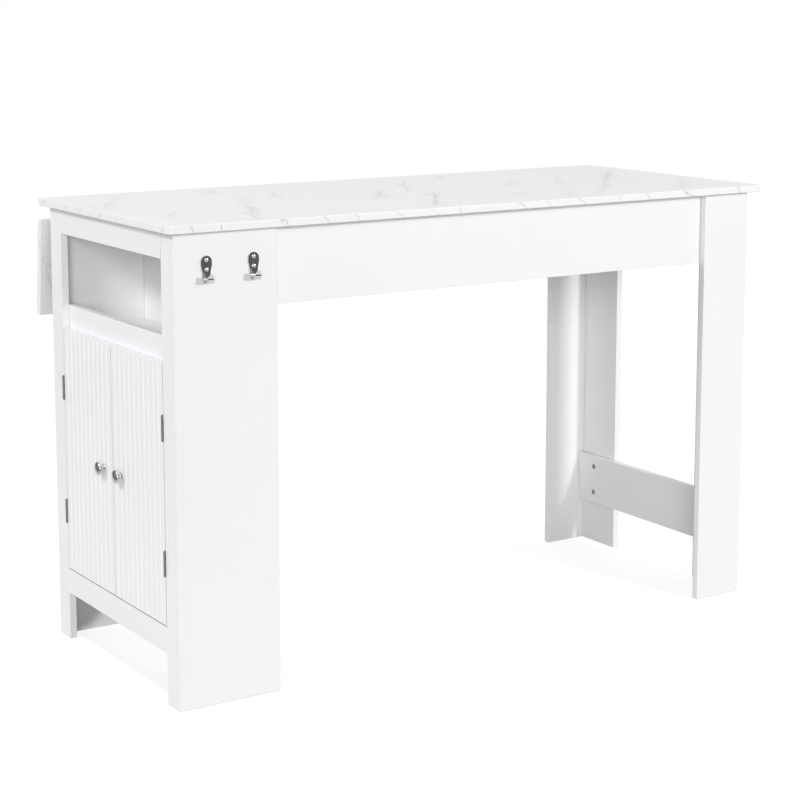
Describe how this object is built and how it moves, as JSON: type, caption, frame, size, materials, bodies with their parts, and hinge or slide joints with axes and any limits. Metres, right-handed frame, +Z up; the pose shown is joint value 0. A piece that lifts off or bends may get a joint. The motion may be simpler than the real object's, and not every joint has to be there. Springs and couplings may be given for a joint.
{
  "type": "drop leaf dining table",
  "caption": "Counter-height dining table with a marble-look top, a two-door cabinet with an open niche at one end, plank legs at the other and a hinged drop leaf behind.",
  "frame": {"origin": "on the floor, at the middle of the bounding box with the leaf hanging", "axes": "+Z up; +X from the cabinet end to the leg end; +Y from the front, where the hooks are, to the drop leaf"},
  "size_m": [1.43, 0.6192, 0.915],
  "materials": {
    "white_paint": "satin white paint on board",
    "marble_laminate": "satin white laminate with soft grey veins",
    "bright_nickel": "satin nickel plate",
    "hook_metal": "dark nickel plate",
    "zinc_steel": "zinc plate",
    "dowel_wood": "bare beech",
    "catch_plastic": "white moulded plastic",
    "magnet": "dull grey"
  },
  "bodies": {
    "root": {"table_top": "marble_laminate", "left_front_panel": "white_paint", "left_back_panel": "white_paint", "front_stile": "white_paint", "back_stile": "white_paint", "top_rail": "white_paint", "niche_lip": "white_paint", "bottom_rail": "white_paint", "cabinet_divider": "white_paint", "niche_floor": "white_paint", "cabinet_floor": "white_paint", "inner_shelf": "white_paint", "shelf_pins": "zinc_steel", "front_apron": "white_paint", "back_apron": "white_paint", "right_end_rail": "white_paint", "front_leg_plate": "white_paint", "front_leg_return": "white_paint", "back_leg_plate": "white_paint", "back_leg_return": "white_paint", "stretcher": "white_paint", "stretcher_bolts": "hook_metal", "stretcher_inserts": "zinc_steel", "wood_dowels": "dowel_wood", "cam_locks": "zinc_steel", "cam_bolts": "zinc_steel", "top_clips": "zinc_steel", "top_clip_screws": "zinc_steel", "hinge_frame_leaves": "bright_nickel", "hinge_frame_screws": "bright_nickel", "hinge_pins": "bright_nickel", "catch_housing": "catch_plastic", "catch_magnets": "magnet", "catch_screws": "zinc_steel", "coat_hooks": "hook_metal", "hook_screws": "bright_nickel", "wall_arms": "zinc_steel", "wall_arm_screws": "zinc_steel", "pivot_pins": "bright_nickel"},
    "leaf": {"drop_leaf": "marble_laminate", "leaf_arms": "zinc_steel", "leaf_arm_screws": "zinc_steel", "strut_pins": "bright_nickel"},
    "leaf_struts": {"struts": "zinc_steel", "foot_pins": "bright_nickel"},
    "front_door": {"door_front": "white_paint", "knob_front": "bright_nickel", "knob_screw_front": "zinc_steel", "hinge_leaves_front": "bright_nickel", "hinge_screws_front": "bright_nickel", "strike_front": "zinc_steel"},
    "back_door": {"door_back": "white_paint", "knob_back": "bright_nickel", "knob_screw_back": "zinc_steel", "hinge_leaves_back": "bright_nickel", "hinge_screws_back": "bright_nickel", "strike_back": "zinc_steel"}
  },
  "joints": [
    {"name": "leaf_fold", "type": "hinge", "parent": "root", "child": "leaf", "pos_m": [0, 0.26841, 0.893], "axis": [1, 0, 0], "range_deg": [0, 85]},
    {"name": "strut_fold", "type": "hinge", "parent": "leaf", "child": "leaf_struts", "pos_m": [0, 0.27276, 0.84319], "axis": [1, 0, 0], "range_deg": [-121, 0]},
    {"name": "front_door_swing", "type": "hinge", "parent": "root", "child": "front_door", "pos_m": [-0.6992, -0.23639, 0.4005], "axis": [0, 0, 1], "range_deg": [0, 170]},
    {"name": "back_door_swing", "type": "hinge", "parent": "root", "child": "back_door", "pos_m": [-0.6992, 0.21721, 0.4005], "axis": [0, 0, -1], "range_deg": [0, 170]}
  ],
  "couplings": [
    {"joint": "strut_fold", "follows": "leaf_fold", "ratio": -1.4183}
  ]
}
